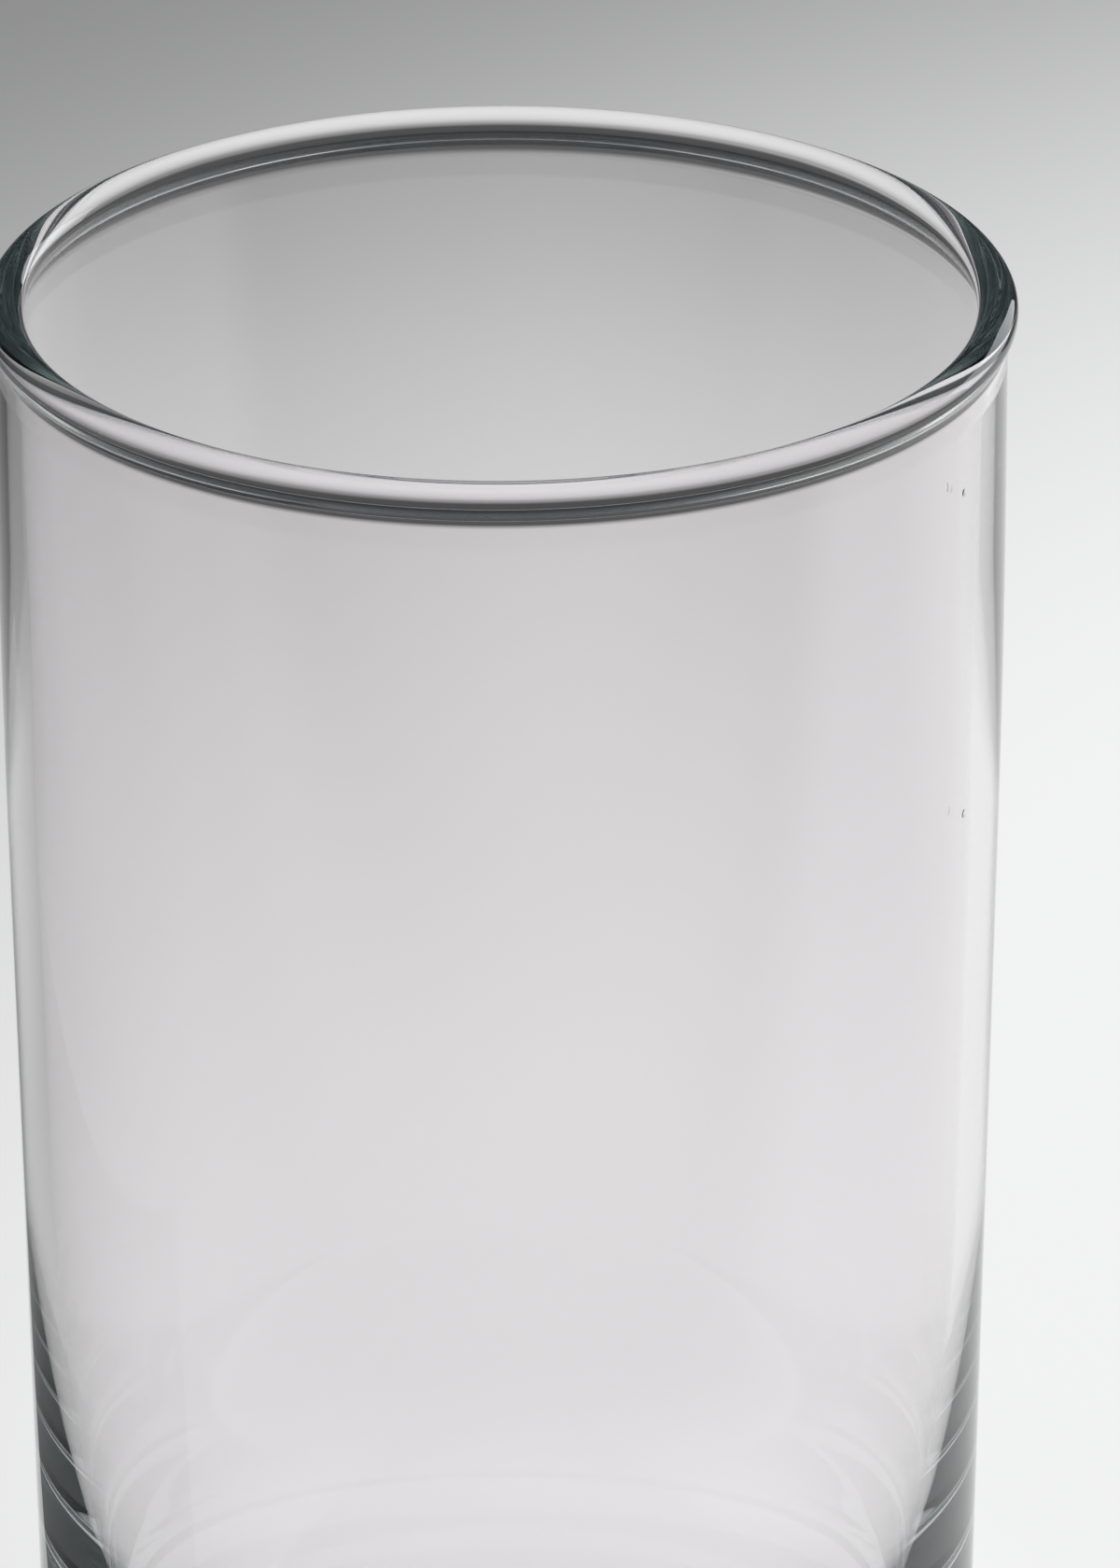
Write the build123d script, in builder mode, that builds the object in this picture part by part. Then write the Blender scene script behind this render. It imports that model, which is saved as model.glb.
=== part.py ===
from build123d import *
import os

# Straight-sided juice glass, formed from one gob of clear glass and fire-polished at the rim.
# Sizes are in millimetres. The table is z = 0, and the glass turns about the Z axis.

# Outside of the glass
height = 106.0              # table to the top of the rim
wall_diameter = 57.0        # outside of the upright wall under the rim
base_diameter = 53.8        # outside of the tapered wall, carried down to the table
upright_length = 22.0       # rim top to where the taper begins
taper_bend_reach = 7.7      # how far the soft bend spreads above and below that level
heel_radius = 3.0           # rounding between the wall and the underside

# Rim bead, left by fire polishing
bead_tall = 2.0             # rim top to the lowest point of the bead's oval section
bead_outer_proud = 0.57     # how far the bead stands out from the wall
bead_inner_proud = 0.6      # how far it stands into the mouth
bead_neck_length = 4.0      # rim top to the level where bead and wall are told apart
bead_outer_blend = 0.5      # hollow rounding from the bead into the wall, outside
bead_inner_blend = 2.5      # the same inside the mouth

# Wall and cavity
wall_thickness_top = 1.15   # at the neck of the bead
wall_thickness_low = 1.6    # where the cavity begins to close in
cavity_bend_depth = 55.8    # rim top to where the cavity begins to close in
floor_thickness = 9.5       # underside level to the cavity floor
floor_flat_diameter = 33.7  # flat middle of the cavity floor
side_fullness = 0.765       # how long the cavity's closing curve follows the wall
floor_fullness = 0.502      # how long it follows the floor

# Underside
punt_depth = 1.0            # hollow in the middle of the underside
standing_ring_inner = 40.0  # inner diameter of the flat ring that the glass stands on

# Levels shared by the pieces
wall_radius = wall_diameter / 2
base_radius = base_diameter / 2
neck_level = height - bead_neck_length
taper_level = height - upright_length
bend_level = height - cavity_bend_depth
taper_slope = (wall_radius - base_radius) / taper_level

# Radii where two pieces meet
neck_inner_radius = wall_radius - wall_thickness_top
bend_outer_radius = base_radius + taper_slope * bend_level
bend_inner_radius = bend_outer_radius - wall_thickness_low

# The bead is oval in section and takes in the whole wall
bead_half_wide = (wall_thickness_top + bead_outer_proud + bead_inner_proud) / 2
bead_half_tall = bead_tall / 2
bead_ring_radius = wall_radius + bead_outer_proud - bead_half_wide
bead_level = height - bead_half_tall
match_tolerance = 0.001

os.makedirs("parts", exist_ok=True)

# Rim bead with the short neck of wall under it
with BuildPart() as rim_bead:
    with BuildSketch(Plane.XZ) as rim_section:
        with Locations((bead_ring_radius, bead_level)):
            Ellipse(bead_half_wide, bead_half_tall)
        with Locations((neck_inner_radius, neck_level)):
            Rectangle(wall_thickness_top, bead_level - neck_level, align=(Align.MIN, Align.MIN))
        outer_notch = rim_section.vertices().filter_by_position(
            Axis.X, wall_radius - match_tolerance, wall_radius + match_tolerance
        ).sort_by(Axis.Y)[-1]
        fillet(outer_notch, radius=bead_outer_blend)
        inner_notch = rim_section.vertices().filter_by_position(
            Axis.X, neck_inner_radius - match_tolerance, neck_inner_radius + match_tolerance
        ).sort_by(Axis.Y)[-1]
        fillet(inner_notch, radius=bead_inner_blend)
    revolve(axis=Axis.Z)
rim_bead.part.label = "rim_bead"
export_step(rim_bead.part, "parts/rim_bead.step")

# Thin side wall, upright under the rim and then tapering towards the base
with BuildPart() as side_wall:
    with BuildSketch(Plane.XZ) as wall_section:
        with BuildLine():
            Line((neck_inner_radius, neck_level), (wall_radius, neck_level))
            Line((wall_radius, neck_level), (wall_radius, taper_level + taper_bend_reach))
            Bezier(
                (wall_radius, taper_level + taper_bend_reach),
                (wall_radius, taper_level),
                (wall_radius - taper_slope * taper_bend_reach, taper_level - taper_bend_reach),
            )
            Line(
                (wall_radius - taper_slope * taper_bend_reach, taper_level - taper_bend_reach),
                (bend_outer_radius, bend_level),
            )
            Line((bend_outer_radius, bend_level), (bend_inner_radius, bend_level))
            Line((bend_inner_radius, bend_level), (neck_inner_radius, neck_level))
        make_face()
    revolve(axis=Axis.Z)
side_wall.part.label = "side_wall"
export_step(side_wall.part, "parts/side_wall.step")

# Heavy base: the wall thickens all the way down to the flat cavity floor
closing_height = bend_level - floor_thickness
inner_slope = (neck_inner_radius - bend_inner_radius) / (neck_level - bend_level)
side_pull = side_fullness * closing_height
corner_radius = bend_inner_radius - inner_slope * closing_height
floor_flat_radius = floor_flat_diameter / 2
floor_pull = floor_fullness * (corner_radius - floor_flat_radius)
with BuildPart() as base:
    with BuildSketch(Plane.XZ) as base_section:
        with BuildLine():
            Line((0, punt_depth), (0, floor_thickness))
            Line((0, floor_thickness), (floor_flat_radius, floor_thickness))
            Bezier(
                (floor_flat_radius, floor_thickness),
                (floor_flat_radius + floor_pull, floor_thickness),
                (bend_inner_radius - inner_slope * side_pull, bend_level - side_pull),
                (bend_inner_radius, bend_level),
            )
            Line((bend_inner_radius, bend_level), (bend_outer_radius, bend_level))
            Line((bend_outer_radius, bend_level), (base_radius, 0))
            Line((base_radius, 0), (standing_ring_inner / 2, 0))
            TangentArc((0, punt_depth), (standing_ring_inner / 2, 0), tangent=(1, 0))
        make_face()
        heel_corner = base_section.vertices().sort_by_distance((base_radius, 0))[0]
        fillet(heel_corner, radius=heel_radius)
    revolve(axis=Axis.Z)
base.part.label = "base"
export_step(base.part, "parts/base.step")
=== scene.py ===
import bpy
import math
from mathutils import Matrix, Vector


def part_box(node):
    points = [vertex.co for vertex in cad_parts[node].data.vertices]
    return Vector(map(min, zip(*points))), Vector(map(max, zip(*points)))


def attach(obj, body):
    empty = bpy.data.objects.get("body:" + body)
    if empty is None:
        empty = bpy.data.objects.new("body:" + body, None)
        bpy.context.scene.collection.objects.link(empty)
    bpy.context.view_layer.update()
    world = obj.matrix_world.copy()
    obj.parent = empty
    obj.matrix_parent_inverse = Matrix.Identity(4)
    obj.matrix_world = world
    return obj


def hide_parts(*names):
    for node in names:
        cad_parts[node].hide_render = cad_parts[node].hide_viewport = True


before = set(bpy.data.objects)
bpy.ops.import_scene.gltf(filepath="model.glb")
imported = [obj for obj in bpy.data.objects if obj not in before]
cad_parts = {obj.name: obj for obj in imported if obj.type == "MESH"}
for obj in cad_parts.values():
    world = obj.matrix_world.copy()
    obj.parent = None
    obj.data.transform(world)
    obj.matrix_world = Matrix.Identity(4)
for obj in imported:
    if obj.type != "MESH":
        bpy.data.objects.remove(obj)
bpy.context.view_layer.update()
mm = 0.001
print("stage: frame loaded")


def srgb(hexText):
    # sRGB hex to the linear colour that shaders take
    parts = [int(hexText[i:i + 2], 16) / 255 for i in (1, 3, 5)]
    return [p / 12.92 if p <= 0.04045 else ((p + 0.055) / 1.055) ** 2.4 for p in parts] + [1.0]


def addNode(tree, kind, inputs=None, **settings):
    # inputs: name or number of an input -> the socket to link to it, or its plain value
    node = tree.nodes.new(kind)
    for name, value in settings.items():
        setattr(node, name, value)
    for key, value in (inputs or {}).items():
        if isinstance(value, bpy.types.NodeSocket):
            tree.links.new(value, node.inputs[key])
        else:
            node.inputs[key].default_value = value
    return node


# Glass: sizes in metres, the outer ones taken from the CAD pieces
rimLow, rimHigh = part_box("rim_bead")
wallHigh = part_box("side_wall")[1]
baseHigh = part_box("base")[1]
glass = {
    "height": rimHigh.z,
    "neckLevel": rimLow.z,
    "bendLevel": baseHigh.z,
    "wallRadius": wallHigh.x,
    "bendRadius": baseHigh.x,
    "rimRadius": min(rimHigh.x, rimHigh.y, -rimLow.x, -rimLow.y),
    "upright": 22 * mm,
    "bendReach": 7.7 * mm,
    "topThickness": 1.15 * mm,
    "lowThickness": 1.6 * mm,
    "innerProud": 0.6 * mm,
    "beadTall": 2 * mm,
    "outerBlend": 1.4 * mm,
    "innerBlend": 2 * mm,
    "floorLevel": 9.5 * mm,
    "floorRadius": 16.85 * mm,
    "sideFullness": 0.765,
    "floorFullness": 0.502,
    "heelRadius": 3 * mm,
    "puntDepth": 1 * mm,
    "ringRadius": 20 * mm,
    # faint unevenness inside
    "rippleHeight": 0.012 * mm,
    "rippleSize": (7 * mm, 7 * mm, 90 * mm),
    "bandHeight": 0.006 * mm,
    "bandSize": (9 * mm, 9 * mm, 2.6 * mm),
    "bandLow": 10.5 * mm,
    "bandTop": 46 * mm,
    "seed": 4,
    # steps of the mesh round the axis and along the section
    "segments": 240,
    "puntSteps": 12,
    "ringSteps": 8,
    "heelSteps": 16,
    "lowerWallSteps": 30,
    "taperBendSteps": 14,
    "upperWallSteps": 22,
    "outerBlendSteps": 14,
    "beadSteps": 60,
    "innerBlendSteps": 10,
    "neckSteps": 6,
    "innerWallSteps": 30,
    "closingSteps": 120,
    "floorSteps": 12,
    "leastStep": 0.002 * mm,
    "mergeReach": 0.001 * mm,
    # handling marks and seeds
    "markSize": 16 * mm,
    "markStretch": (1, 1, 0.4),
    "markFrom": 0.55,
    "markFull": 0.75,
    "markRoughness": 0.02,
    "seedSpacing": 9 * mm,
    "seedless": 0.7,
    "seedInner": 0.018,
    "seedOuter": 0.034,
    "seedStrength": 0.5,
    "seedHeight": 0.06 * mm,
}


def arc(centre, radius, start, end, count):
    return [
        (centre[0] + radius * math.cos(start + (end - start) * i / count),
         centre[1] + radius * math.sin(start + (end - start) * i / count))
        for i in range(count + 1)
    ]


def line(a, b, count):
    # closer steps at both ends, so that smooth shading stays true beside a bend
    steps = [0.5 - 0.5 * math.cos(math.pi * i / count) for i in range(count + 1)]
    return [(a[0] + (b[0] - a[0]) * t, a[1] + (b[1] - a[1]) * t) for t in steps]


def bezier(points, count):
    result = []
    for i in range(count + 1):
        t = i / count
        level = points
        while len(level) > 1:
            level = [
                (p[0] + (q[0] - p[0]) * t, p[1] + (q[1] - p[1]) * t)
                for p, q in zip(level, level[1:])
            ]
        result.append(level[0])
    return result


def glassSection(s):
    # half section as (radius, level), from the middle of the underside round the rim to the cavity floor
    taperLevel = s["height"] - s["upright"]
    slope = (s["wallRadius"] - s["bendRadius"]) / (taperLevel - s["bendLevel"])
    footRadius = s["bendRadius"] - slope * s["bendLevel"]
    puntRadius = (s["ringRadius"] ** 2 + s["puntDepth"] ** 2) / (2 * s["puntDepth"])
    puntAngle = math.asin(s["ringRadius"] / puntRadius)
    puntCentre = (0, s["puntDepth"] - puntRadius)
    heelReach = s["heelRadius"] * (math.sqrt(1 + slope ** 2) - slope)
    heelCentre = (footRadius - heelReach, s["heelRadius"])
    heelEnd = -math.atan(slope)
    points = arc(puntCentre, puntRadius, math.pi / 2, math.pi / 2 - puntAngle, s["puntSteps"])
    points += line((s["ringRadius"], 0), (heelCentre[0], 0), s["ringSteps"])
    heel = arc(heelCentre, s["heelRadius"], -math.pi / 2, heelEnd, s["heelSteps"])
    points += heel

    lowerBend = (s["wallRadius"] - slope * s["bendReach"], taperLevel - s["bendReach"])
    upperBend = (s["wallRadius"], taperLevel + s["bendReach"])
    points += line(heel[-1], lowerBend, s["lowerWallSteps"])
    points += bezier([lowerBend, (s["wallRadius"], taperLevel), upperBend], s["taperBendSteps"])

    innerTop = s["wallRadius"] - s["topThickness"]
    wide = (s["rimRadius"] - innerTop + s["innerProud"]) / 2
    tall = s["beadTall"] / 2
    bead = (s["rimRadius"] - wide, s["height"] - tall)

    def blendPlace(wallX, reach, low, high):
        # angle on the oval bead at which a rounding of this reach also meets the wall, by halving
        for _ in range(60):
            middle = (low + high) / 2
            across = math.cos(middle) / wide
            upward = math.sin(middle) / tall
            length = math.hypot(across, upward)
            x = bead[0] + wide * math.cos(middle) + reach * across / length
            z = bead[1] + tall * math.sin(middle) + reach * upward / length
            low, high = (middle, high) if (x - wallX) * math.cos(low) < 0 else (low, middle)
        return middle, math.atan2(upward, across), (x, z)

    # the search keeps a little off the oval's lowest and widest points
    margin = 0.05
    outer, outerTurn, outerCentre = blendPlace(
        s["wallRadius"] + s["outerBlend"], s["outerBlend"], -math.pi / 2 + margin, -margin)
    inner, innerTurn, innerCentre = blendPlace(
        innerTop - s["innerBlend"], s["innerBlend"], -math.pi / 2 - margin, -math.pi + margin)
    points += line(upperBend, (s["wallRadius"], outerCentre[1]), s["upperWallSteps"])
    points += arc(outerCentre, s["outerBlend"], math.pi, outerTurn + math.pi, s["outerBlendSteps"])
    beadTurn = inner + 2 * math.pi - outer
    for i in range(s["beadSteps"] + 1):
        a = outer + beadTurn * i / s["beadSteps"]
        points.append((bead[0] + wide * math.cos(a), bead[1] + tall * math.sin(a)))
    points += arc(innerCentre, s["innerBlend"], innerTurn + math.pi, 0, s["innerBlendSteps"])

    bendInner = s["bendRadius"] - s["lowThickness"]
    innerSlope = (innerTop - bendInner) / (s["neckLevel"] - s["bendLevel"])
    closing = s["bendLevel"] - s["floorLevel"]
    sidePull = s["sideFullness"] * closing
    floorPull = s["floorFullness"] * (bendInner - innerSlope * closing - s["floorRadius"])
    points += line((innerTop, innerCentre[1]), (innerTop, s["neckLevel"]), s["neckSteps"])
    points += line((innerTop, s["neckLevel"]), (bendInner, s["bendLevel"]), s["innerWallSteps"])
    points += bezier([
        (bendInner, s["bendLevel"]),
        (bendInner - innerSlope * sidePull, s["bendLevel"] - sidePull),
        (s["floorRadius"] + floorPull, s["floorLevel"]),
        (s["floorRadius"], s["floorLevel"]),
    ], s["closingSteps"])
    points += line((s["floorRadius"], s["floorLevel"]), (0, s["floorLevel"]), s["floorSteps"])
    kept = [points[0]]
    for p in points[1:]:
        if math.dist(p, kept[-1]) > s["leastStep"]:
            kept.append(p)
    return kept


section = glassSection(glass)
sectionCurve = bpy.data.curves.new("glassSection", "CURVE")
sectionCurve.dimensions = "3D"
spline = sectionCurve.splines.new("POLY")
spline.points.add(len(section) - 1)
for point, (radius, level) in zip(spline.points, section):
    point.co = (radius, 0, level, 1)
sectionObject = bpy.data.objects.new("glassSection", sectionCurve)
bpy.context.scene.collection.objects.link(sectionObject)
print("stage: glass section,", len(section), "points")


# Clear glass: see-through and mirror-smooth, a faint green-grey where a ray runs a long way in it
def clearGlass(s):
    material = bpy.data.materials.new("clearSodaLimeGlass")
    material.use_nodes = True
    tree = material.node_tree
    tree.nodes.clear()
    place = addNode(tree, "ShaderNodeTexCoord").outputs["Object"]

    # handling marks: very faint patches where the polish is a little duller
    stretched = addNode(tree, "ShaderNodeMapping", {"Vector": place, "Scale": s["markStretch"]})
    marks = addNode(tree, "ShaderNodeTexNoise", {
        "Vector": stretched.outputs[0], "Scale": 1 / s["markSize"], "Detail": 3, "Roughness": 0.6})
    dull = addNode(tree, "ShaderNodeMapRange", {
        "Value": marks.outputs["Fac"], "From Min": s["markFrom"], "From Max": s["markFull"],
        "To Min": 0.0, "To Max": s["markRoughness"]})

    # seeds: pin-head specks left in the glass, a few to a hand's width
    cells = addNode(tree, "ShaderNodeTexVoronoi", {"Vector": place, "Scale": 1 / s["seedSpacing"]})
    chosen = addNode(tree, "ShaderNodeSeparateColor", {"Color": cells.outputs["Color"]})
    rare = addNode(tree, "ShaderNodeMath", {
        0: chosen.outputs["Red"], 1: s["seedless"]}, operation="GREATER_THAN")
    speck = addNode(tree, "ShaderNodeMapRange", {
        "Value": cells.outputs["Distance"], "From Min": s["seedInner"], "From Max": s["seedOuter"],
        "To Min": 1, "To Max": 0}, interpolation_type="SMOOTHSTEP")
    seeds = addNode(tree, "ShaderNodeMath", {
        0: speck.outputs[0], 1: rare.outputs[0]}, operation="MULTIPLY")
    bump = addNode(tree, "ShaderNodeBump", {
        "Height": seeds.outputs[0], "Strength": s["seedStrength"], "Distance": s["seedHeight"]})

    shader = addNode(tree, "ShaderNodeBsdfPrincipled", {
        "Base Color": srgb("#fbf9fa"), "Transmission Weight": 1.0, "IOR": 1.52,
        "Roughness": dull.outputs[0], "Normal": bump.outputs[0]})
    depth = addNode(tree, "ShaderNodeVolumeAbsorption", {"Color": srgb("#dfe5e5"), "Density": 32.0})
    addNode(tree, "ShaderNodeOutputMaterial", {"Surface": shader.outputs[0], "Volume": depth.outputs[0]})
    return material


glassMaterial = clearGlass(glass)
print("stage: glass material")


# The section turned about the axis, with the faint unevenness that a formed glass has inside
def glassTree(s):
    tree = bpy.data.node_groups.new("turnedGlass", "GeometryNodeTree")
    kinds = {
        "Section": "Object", "Segments": "Int", "Glass": "Material", "Seed": "Float",
        "Ripple Height": "Float", "Ripple Size": "Vector", "Ripple Low": "Float", "Ripple High": "Float",
        "Band Height": "Float", "Band Size": "Vector", "Band Low": "Float", "Band High": "Float",
    }
    for name, kind in kinds.items():
        tree.interface.new_socket(name, in_out="INPUT", socket_type="NodeSocket" + kind)
    tree.interface.new_socket("Geometry", in_out="OUTPUT", socket_type="NodeSocketGeometry")
    given = addNode(tree, "NodeGroupInput").outputs

    # a grid with one row of points for each step of the turn
    outline = addNode(tree, "GeometryNodeObjectInfo", {"Object": given["Section"]}).outputs["Geometry"]
    size = addNode(tree, "GeometryNodeAttributeDomainSize", {"Geometry": outline}, component="CURVE")
    count = size.outputs["Point Count"]
    rows = addNode(tree, "ShaderNodeMath", {0: given["Segments"], 1: 1.0}, operation="ADD")
    grid = addNode(tree, "GeometryNodeMeshGrid", {"Vertices X": rows.outputs[0], "Vertices Y": count})
    number = addNode(tree, "GeometryNodeInputIndex").outputs[0]
    along = addNode(tree, "ShaderNodeMath", {0: number, 1: count}, operation="MODULO").outputs[0]
    share = addNode(tree, "ShaderNodeMath", {0: number, 1: count}, operation="DIVIDE")
    row = addNode(tree, "ShaderNodeMath", {0: share.outputs[0]}, operation="FLOOR")
    step = addNode(tree, "ShaderNodeMath", {0: 2 * math.pi, 1: given["Segments"]}, operation="DIVIDE")
    angle = addNode(tree, "ShaderNodeMath", {
        0: row.outputs[0], 1: step.outputs[0]}, operation="MULTIPLY").outputs[0]

    # each point takes its place on the section, turned by its row's angle
    position = addNode(tree, "GeometryNodeInputPosition").outputs[0]
    flat = addNode(tree, "GeometryNodeSampleIndex", {
        "Geometry": outline, "Value": position, "Index": along,
    }, data_type="FLOAT_VECTOR", domain="POINT").outputs[0]
    spot = addNode(tree, "ShaderNodeVectorRotate", {
        "Vector": flat, "Angle": angle}, rotation_type="Z_AXIS").outputs[0]
    outward = addNode(tree, "ShaderNodeVectorRotate", {
        "Vector": (1, 0, 0), "Angle": angle}, rotation_type="Z_AXIS")
    level = addNode(tree, "ShaderNodeSeparateXYZ", {0: flat}).outputs["Z"]

    # ripples run up the thin wall, bands lie level in the closing curve; both fade out at their ends
    amounts = []
    for name in ("Ripple", "Band"):
        scaled = addNode(tree, "ShaderNodeVectorMath", {
            0: spot, 1: given[name + " Size"]}, operation="DIVIDE")
        noise = addNode(tree, "ShaderNodeTexNoise", {
            "Vector": scaled.outputs[0], "W": given["Seed"], "Scale": 1.0, "Detail": 1.0,
        }, noise_dimensions="4D")
        centred = addNode(tree, "ShaderNodeMath", {
            0: noise.outputs["Fac"], 1: 0.5}, operation="SUBTRACT")
        span = addNode(tree, "ShaderNodeMapRange", {
            "Value": level, "From Min": given[name + " Low"], "From Max": given[name + " High"],
            "To Min": 0.0, "To Max": math.pi})
        fade = addNode(tree, "ShaderNodeMath", {0: span.outputs[0]}, operation="SINE")
        wave = addNode(tree, "ShaderNodeMath", {
            0: centred.outputs[0], 1: fade.outputs[0]}, operation="MULTIPLY")
        amounts.append(addNode(tree, "ShaderNodeMath", {
            0: wave.outputs[0], 1: given[name + " Height"]}, operation="MULTIPLY").outputs[0])
    both = addNode(tree, "ShaderNodeMath", {0: amounts[0], 1: amounts[1]}, operation="ADD")

    # the second half of the section is the inside
    middle = addNode(tree, "ShaderNodeMath", {0: count, 1: 0.5}, operation="MULTIPLY")
    inside = addNode(tree, "ShaderNodeMath", {
        0: along, 1: middle.outputs[0]}, operation="GREATER_THAN")
    amount = addNode(tree, "ShaderNodeMath", {
        0: both.outputs[0], 1: inside.outputs[0]}, operation="MULTIPLY")
    shift = addNode(tree, "ShaderNodeVectorMath", {
        0: outward.outputs[0], 3: amount.outputs[0]}, operation="SCALE")
    target = addNode(tree, "ShaderNodeVectorMath", {0: spot, 1: shift.outputs[0]}, operation="ADD")
    turned = addNode(tree, "GeometryNodeSetPosition", {
        "Geometry": grid.outputs["Mesh"], "Position": target.outputs[0]})
    closed = addNode(tree, "GeometryNodeMergeByDistance", {
        "Geometry": turned.outputs[0], "Distance": s["mergeReach"]})
    smooth = addNode(tree, "GeometryNodeSetShadeSmooth", {"Geometry": closed.outputs[0]})
    real = addNode(tree, "GeometryNodeRealizeInstances", {"Geometry": smooth.outputs[0]})
    painted = addNode(tree, "GeometryNodeSetMaterial", {
        "Geometry": real.outputs[0], "Material": given["Glass"]})
    addNode(tree, "NodeGroupOutput", {0: painted.outputs[0]})
    return tree


turnedTree = glassTree(glass)
carrier = bpy.data.objects.new("turning", bpy.data.meshes.new("turning"))
bpy.context.scene.collection.objects.link(carrier)
modifier = carrier.modifiers.new("turnedGlass", "NODES")
modifier.node_group = turnedTree
socketIds = {s.name: s.identifier for s in turnedTree.interface.items_tree if s.in_out == "INPUT"}
for name, value in {
    "Section": sectionObject, "Segments": glass["segments"],
    "Glass": glassMaterial, "Seed": float(glass["seed"]),
    "Ripple Height": glass["rippleHeight"], "Ripple Size": glass["rippleSize"],
    "Ripple Low": glass["bendLevel"], "Ripple High": glass["neckLevel"],
    "Band Height": glass["bandHeight"], "Band Size": glass["bandSize"],
    "Band Low": glass["bandLow"], "Band High": glass["bandTop"],
}.items():
    modifier[socketIds[name]] = value
bpy.context.view_layer.update()
evaluated = carrier.evaluated_get(bpy.context.evaluated_depsgraph_get())
glassMesh = bpy.data.meshes.new_from_object(evaluated)
glassMesh.name = "juiceGlass"
carrier.modifiers.remove(modifier)
bpy.data.objects.remove(carrier)
bpy.data.objects.remove(sectionObject)
juiceGlass = bpy.data.objects.new("juiceGlass", glassMesh)
bpy.context.scene.collection.objects.link(juiceGlass)
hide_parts("rim_bead", "side_wall", "base")
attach(juiceGlass, "root")
print("stage: glass turned,", len(glassMesh.polygons), "faces")


# Stage: a wide pale floor with painted light and shade: a painted pool of light makes it lightest to the
# right of the glass, and painted shade makes it duller under it, far behind it and in front
stageSizes = {
    "floorHalf": 12.0,
    "floorDrop": 0.02 * mm,
    # a painted pool of light, centred to the right of the glass, falling to grey further off
    "poolX": 245 * mm,
    "poolY": 23 * mm,
    "poolInner": 242 * mm,
    "poolOuter": 435 * mm,
    # a small painted patch of light at the left
    "leftX": -103 * mm,
    "leftY": 158 * mm,
    "leftInner": 25 * mm,
    "leftOuter": 72 * mm,
    "leftGain": 0.12,
    # a painted caustic: light that the glass gathers close behind it
    "gatherX": 4 * mm,
    "gatherY": 37 * mm,
    "gatherInner": 6 * mm,
    "gatherOuter": 34 * mm,
    "gatherGain": 0.1,
    # painted shade: the floor darker far behind the glass, and darker towards the front
    "backNear": 335 * mm,
    "backFar": 480 * mm,
    "backShadeTone": 0.35,
    "frontNear": -40 * mm,
    "frontFar": -110 * mm,
    "frontShadeTone": 0.3,
    # a painted shadow of the glass on the floor behind it, deeper further back, shown only through the
    # glass
    "shadeLeft": 0 * mm,
    "shadeRight": 34 * mm,
    "shadeEdge": 45 * mm,
    "shadeEnd": 90 * mm,
    "shadeNear": 90 * mm,
    "shadeFar": 270 * mm,
    "shadeLeast": 0.05,
    "shadeMost": 0.21,
    "dimNear": 215 * mm,
    "dimFar": 290 * mm,
    "dimMost": 0.11,
    "shadeStop": 292 * mm,
    "shadeGone": 330 * mm,
    # a painted shadow under the glass: a darker disc where it stands
    "underInner": 20 * mm,
    "underOuter": 26.5 * mm,
    "underShadowTone": 0.75,
    "shadowShare": 0.2,
}


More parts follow.
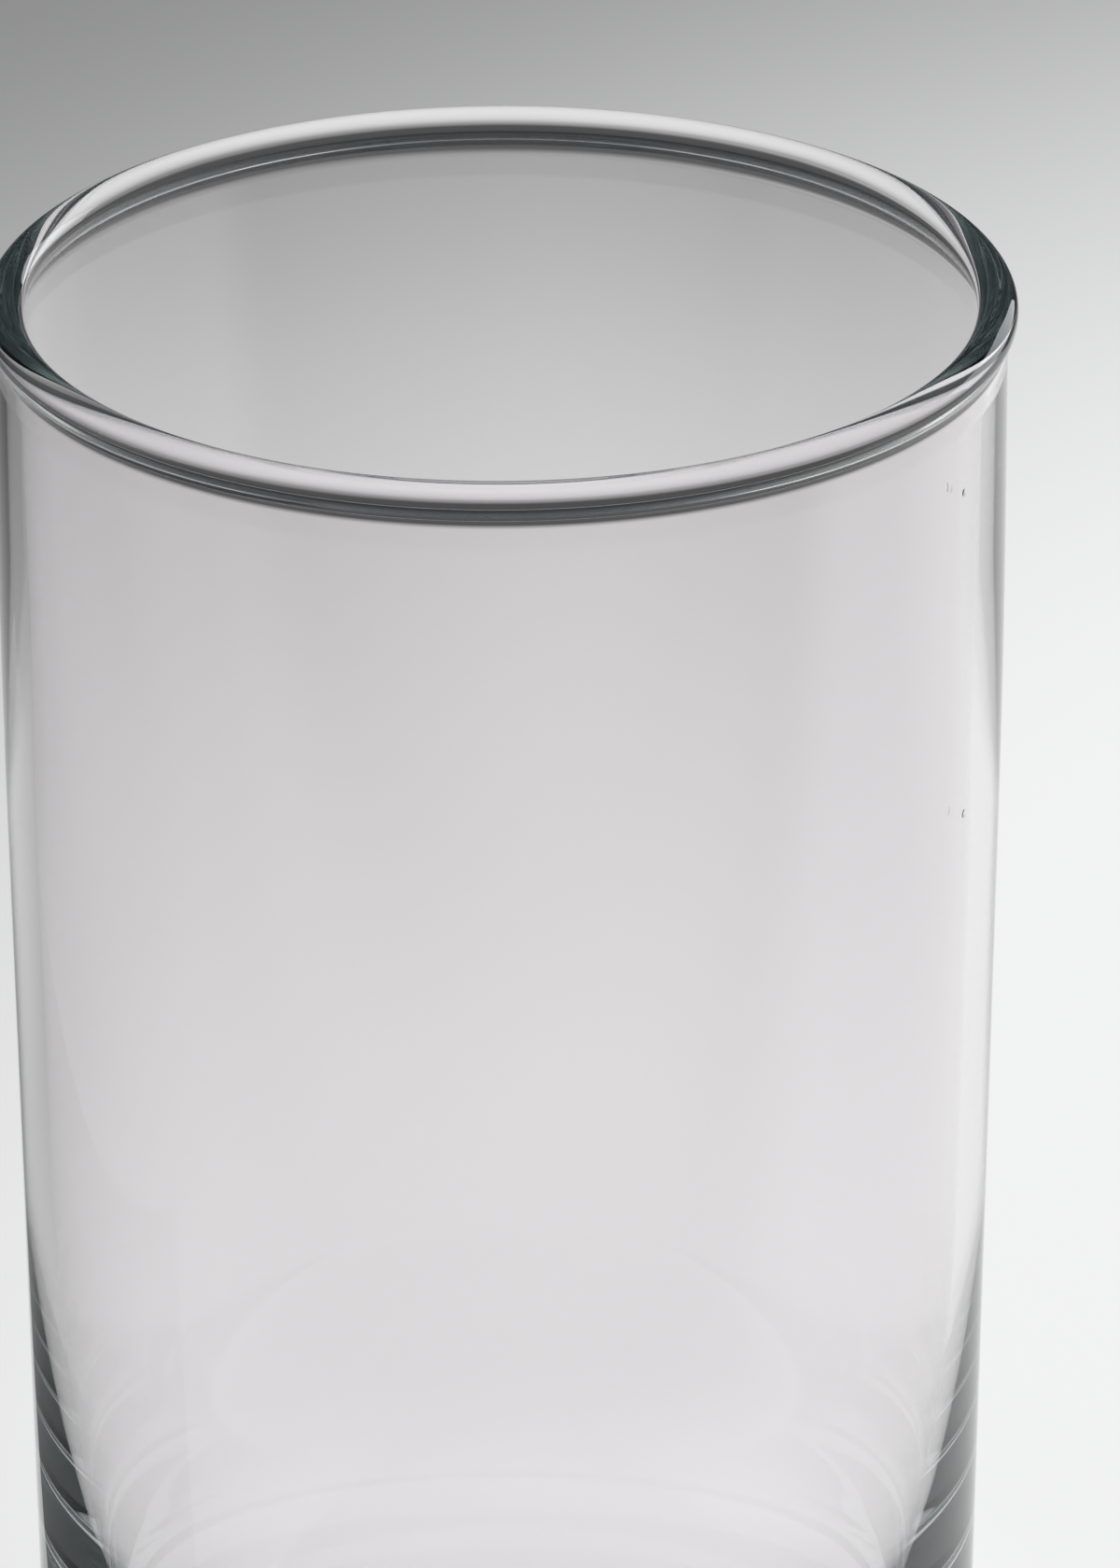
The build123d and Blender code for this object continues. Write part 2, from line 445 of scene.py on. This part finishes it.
def floorMaterial(s):
    material = bpy.data.materials.new("paleStudioFloor")
    material.use_nodes = True
    tree = material.node_tree
    tree.nodes.clear()
    place = addNode(tree, "ShaderNodeTexCoord").outputs["Object"]
    at = addNode(tree, "ShaderNodeSeparateXYZ", {0: place}).outputs

    # soft steps of painted light and shade: source, from, to, tone before, tone after
    away = addNode(tree, "ShaderNodeVectorMath", {
        0: place, 1: (s["poolX"], s["poolY"], 0)}, operation="DISTANCE")
    left = addNode(tree, "ShaderNodeVectorMath", {
        0: place, 1: (s["leftX"], s["leftY"], 0)}, operation="DISTANCE")
    gathered = addNode(tree, "ShaderNodeVectorMath", {
        0: place, 1: (s["gatherX"], s["gatherY"], 0)}, operation="DISTANCE")
    middle = addNode(tree, "ShaderNodeVectorMath", {0: place}, operation="LENGTH")
    steps = {
        # the painted shadow under the glass
        "under": (middle.outputs["Value"], s["underInner"], s["underOuter"], s["underShadowTone"], 1.0),
        # the painted pool of light
        "pool": (away.outputs["Value"], s["poolInner"], s["poolOuter"], 0.0, 1.0),
        # painted light: the patch at the left and the painted caustic behind the glass
        "left": (left.outputs["Value"], s["leftInner"], s["leftOuter"], s["leftGain"], 0.0),
        "gather": (gathered.outputs["Value"], s["gatherInner"], s["gatherOuter"], s["gatherGain"], 0.0),
        # painted shade far behind the glass and towards the front
        "back": (at["Y"], s["backNear"], s["backFar"], 1.0, s["backShadeTone"]),
        "front": (at["Y"], s["frontNear"], s["frontFar"], 1.0, s["frontShadeTone"]),
        # the painted shadow of the glass behind it, and its fading ends
        "shadeIn": (at["X"], s["shadeLeft"], s["shadeRight"], 0.0, 1.0),
        "shadeOut": (at["X"], s["shadeEdge"], s["shadeEnd"], 1.0, 0.0),
        "dim": (at["Y"], s["dimNear"], s["dimFar"], 0.0, s["dimMost"]),
        "shadeStop": (at["Y"], s["shadeStop"], s["shadeGone"], 1.0, 0.0),
    }
    made = {}
    for name, (source, low, high, before, after) in steps.items():
        made[name] = addNode(tree, "ShaderNodeMapRange", {
            "Value": source, "From Min": low, "From Max": high, "To Min": before, "To Max": after,
        }, interpolation_type="SMOOTHSTEP").outputs[0]
    # the painted pool of light: pale near its centre, grey further off
    pool = addNode(tree, "ShaderNodeMix", {
        "Factor": made["pool"], 6: srgb("#eeeeee"), 7: srgb("#898989")}, data_type="RGBA").outputs[2]

    # two small painted patches of light: one at the left, and one close behind the glass, a painted
    # caustic where the glass gathers light
    for name in ("left", "gather"):
        pool = addNode(tree, "ShaderNodeVectorMath", {
            0: pool, 1: made[name]}, operation="ADD").outputs[0]

    # the shade deepens with the distance behind the glass, and shows through the glass alone
    shade = addNode(tree, "ShaderNodeMapRange", {
        "Value": at["Y"], "From Min": s["shadeNear"], "From Max": s["shadeFar"],
        "To Min": s["shadeLeast"], "To Max": s["shadeMost"]}).outputs[0]
    for name in ("shadeIn", "shadeOut"):
        shade = addNode(tree, "ShaderNodeMath", {
            0: shade, 1: made[name]}, operation="MULTIPLY").outputs[0]
    shade = addNode(tree, "ShaderNodeMath", {0: shade, 1: made["dim"]}, operation="ADD").outputs[0]
    seen = addNode(tree, "ShaderNodeLightPath").outputs
    for share in (made["shadeStop"], seen["Is Transmission Ray"]):
        shade = addNode(tree, "ShaderNodeMath", {0: shade, 1: share}, operation="MULTIPLY").outputs[0]
    lit = addNode(tree, "ShaderNodeMath", {0: 1.0, 1: shade}, operation="SUBTRACT").outputs[0]
    # painted shade far behind the glass, towards the front, and under it
    for name in ("back", "front", "under"):
        lit = addNode(tree, "ShaderNodeMath", {0: lit, 1: made[name]}, operation="MULTIPLY").outputs[0]
    tone = addNode(tree, "ShaderNodeVectorMath", {0: pool, 3: lit}, operation="SCALE").outputs[0]

    # seen straight, mirrored or through the glass, it glows in its own tone and keeps a share of shadow
    matt = addNode(tree, "ShaderNodeBsdfDiffuse", {"Color": tone})
    glow = addNode(tree, "ShaderNodeEmission", {"Color": tone, "Strength": 1.0})
    direct = addNode(tree, "ShaderNodeMath", {
        0: seen["Is Camera Ray"], 1: seen["Is Glossy Ray"]}, operation="MAXIMUM")
    direct = addNode(tree, "ShaderNodeMath", {
        0: direct.outputs[0], 1: seen["Is Transmission Ray"]}, operation="MAXIMUM")
    share = addNode(tree, "ShaderNodeMath", {
        0: direct.outputs[0], 1: 1 - s["shadowShare"]}, operation="MULTIPLY")
    mixed = addNode(tree, "ShaderNodeMixShader", {
        0: share.outputs[0], 1: matt.outputs[0], 2: glow.outputs[0]})
    addNode(tree, "ShaderNodeOutputMaterial", {"Surface": mixed.outputs[0]})
    return material


half = stageSizes["floorHalf"]
floorCorners = [(-half, -half, 0), (half, -half, 0), (half, half, 0), (-half, half, 0)]
floorMesh = bpy.data.meshes.new("floor")
floorMesh.from_pydata(floorCorners, [], [(0, 1, 2, 3)])
floor = bpy.data.objects.new("floor", floorMesh)
floor.location.z = -stageSizes["floorDrop"]
floorMesh.materials.append(floorMaterial(stageSizes))
bpy.context.scene.collection.objects.link(floor)

# a grey card lying to the left, out of the picture, whose mirror image darkens the left of the glass
cardSizes = {
    "left": -130 * mm,
    "right": -47 * mm,
    "near": -30 * mm,
    "far": 170 * mm,
    "level": 0.1 * mm,
    "paleNear": 62 * mm,
    "paleFar": 165 * mm,
}
cardMaterial = bpy.data.materials.new("greyCard")
cardMaterial.use_nodes = True
cardTree = cardMaterial.node_tree
cardTree.nodes.clear()
cardPlace = addNode(cardTree, "ShaderNodeTexCoord").outputs["Object"]
cardAlong = addNode(cardTree, "ShaderNodeSeparateXYZ", {0: cardPlace}).outputs["Y"]
cardPale = addNode(cardTree, "ShaderNodeMapRange", {
    "Value": cardAlong, "From Min": cardSizes["paleNear"], "From Max": cardSizes["paleFar"]})
cardTone = addNode(cardTree, "ShaderNodeMix", {
    "Factor": cardPale.outputs[0], 6: srgb("#747474"), 7: srgb("#bcbcbc")}, data_type="RGBA")
cardShade = addNode(cardTree, "ShaderNodeBsdfDiffuse", {"Color": cardTone.outputs[2]})
addNode(cardTree, "ShaderNodeOutputMaterial", {"Surface": cardShade.outputs[0]})
cardMesh = bpy.data.meshes.new("card")
cardMesh.from_pydata([
    (cardSizes[x], cardSizes[y], cardSizes["level"])
    for x, y in (("left", "near"), ("right", "near"), ("right", "far"), ("left", "far"))
], [], [(0, 1, 2, 3)])
cardMesh.materials.append(cardMaterial)
card = bpy.data.objects.new("card", cardMesh)
for ray in ("camera", "diffuse", "transmission", "shadow"):
    setattr(card, "visible_" + ray, False)
bpy.context.scene.collection.objects.link(card)

# the room: dim walls, paler at the sides and overhead, by the direction's parts along X and Z
room = {
    "overheadFrom": 0.5,
    "overheadFull": 0.85,
    "sidesFrom": 0.25,
    "sidesFull": 0.75,
}
world = bpy.data.worlds.new("studio")
bpy.context.scene.world = world
world.use_nodes = True
tree = world.node_tree
tree.nodes.clear()
seen = addNode(tree, "ShaderNodeLightPath").outputs
pale = addNode(tree, "ShaderNodeBackground", {"Color": srgb("#898989"), "Strength": 1.0})
way = addNode(tree, "ShaderNodeTexCoord").outputs["Generated"]
toward = addNode(tree, "ShaderNodeSeparateXYZ", {0: way}).outputs
rise = addNode(tree, "ShaderNodeMapRange", {
    "Value": toward["Z"], "From Min": room["overheadFrom"], "From Max": room["overheadFull"]})
aside = addNode(tree, "ShaderNodeMath", {0: toward["X"]}, operation="ABSOLUTE")
sides = addNode(tree, "ShaderNodeMapRange", {
    "Value": aside.outputs[0], "From Min": room["sidesFrom"], "From Max": room["sidesFull"]})
walls = addNode(tree, "ShaderNodeMix", {
    "Factor": sides.outputs[0], 6: srgb("#303334"), 7: srgb("#4c5051")}, data_type="RGBA")
around = addNode(tree, "ShaderNodeMix", {
    "Factor": rise.outputs[0], 6: walls.outputs[2], 7: srgb("#868b8d")}, data_type="RGBA")
dim = addNode(tree, "ShaderNodeBackground", {"Color": around.outputs[2], "Strength": 1.0})
mixed = addNode(tree, "ShaderNodeMixShader", {
    0: seen["Is Camera Ray"], 1: dim.outputs[0], 2: pale.outputs[0]})
addNode(tree, "ShaderNodeOutputWorld", {"Surface": mixed.outputs[0]})

# one softbox overhead, and one low at the right, whose mirror image lies along the right of the rim
softboxes = {
    "softbox": {
        "shape": "SQUARE", "size": 1.0, "sizeY": 1.0, "watts": 20.0, "colour": (1.0, 1.0, 1.0),
        "place": (0.1, 0.2, 1.3), "target": (0, 0, 0), "hidden": ("glossy", "transmission"),
    },
    "sideSoftbox": {
        "shape": "RECTANGLE", "size": 0.8, "sizeY": 0.55, "watts": 2.9, "colour": (0.95, 0.98, 1.0),
        "place": (0.82, 0.85, 0.34), "target": (0, 0, 0.09), "hidden": ("camera", "transmission"),
    },
}
for name, box in softboxes.items():
    lamp = bpy.data.lights.new(name, "AREA")
    lamp.shape = box["shape"]
    lamp.size = box["size"]
    lamp.size_y = box["sizeY"]
    lamp.energy = box["watts"]
    lamp.color = box["colour"]
    lampObject = bpy.data.objects.new(name, lamp)
    lampObject.location = box["place"]
    aim = Vector(box["target"]) - lampObject.location
    lampObject.rotation_euler = aim.to_track_quat("-Z", "Y").to_euler()
    for ray in box["hidden"]:
        setattr(lampObject, "visible_" + ray, False)
    bpy.context.scene.collection.objects.link(lampObject)
print("stage: floor and light")


# Camera: the photo's view of the rim, with the rim's centre off the middle of the frame
view = {
    "distance": 0.7,
    "elevation": math.radians(22.22),
    "roll": math.radians(-0.27),
    "centreX": 536.5,
    "centreY": 330.1,
    "lookBelowRim": 1.2 * mm,
    "pixelsPerMetre": 19070.0,
    "frameWidth": 1200,
    "frameHeight": 1680,
    "sensor": 36,
    "clipStart": 0.05,
    "clipEnd": 40,
}
focal = view["pixelsPerMetre"] * view["distance"]
away = view["distance"] * Vector((0, -math.cos(view["elevation"]), math.sin(view["elevation"])))
forward = -away.normalized()
right = Vector((1, 0, 0))
up = right.cross(forward)
tiltedRight = math.cos(view["roll"]) * right + math.sin(view["roll"]) * up
tiltedUp = math.cos(view["roll"]) * up - math.sin(view["roll"]) * right
axis = (forward - tiltedRight * ((view["centreX"] - view["frameWidth"] / 2) / focal)
        + tiltedUp * ((view["centreY"] - view["frameHeight"] / 2) / focal)).normalized()
sideways = (tiltedRight - axis * tiltedRight.dot(axis)).normalized()
upward = sideways.cross(axis)
cameraData = bpy.data.cameras.new("camera")
cameraData.sensor_width = view["sensor"]
cameraData.lens = focal / view["frameHeight"] * view["sensor"]
cameraData.clip_start = view["clipStart"]
cameraData.clip_end = view["clipEnd"]
camera = bpy.data.objects.new("camera", cameraData)
lookLevel = glass["height"] - view["lookBelowRim"]
camera.matrix_world = (Matrix.Translation(Vector((0, 0, lookLevel)) + away)
                       @ Matrix((sideways, upward, -axis)).transposed().to_4x4())
bpy.context.scene.collection.objects.link(camera)
bpy.context.scene.camera = camera
bpy.context.scene.view_settings.view_transform = "Standard"

# light runs round inside the rim by many reflections
lightBounces = 48
for kind in ("max", "glossy", "transmission"):
    setattr(bpy.context.scene.cycles, kind + "_bounces", lightBounces)
print("stage: camera")
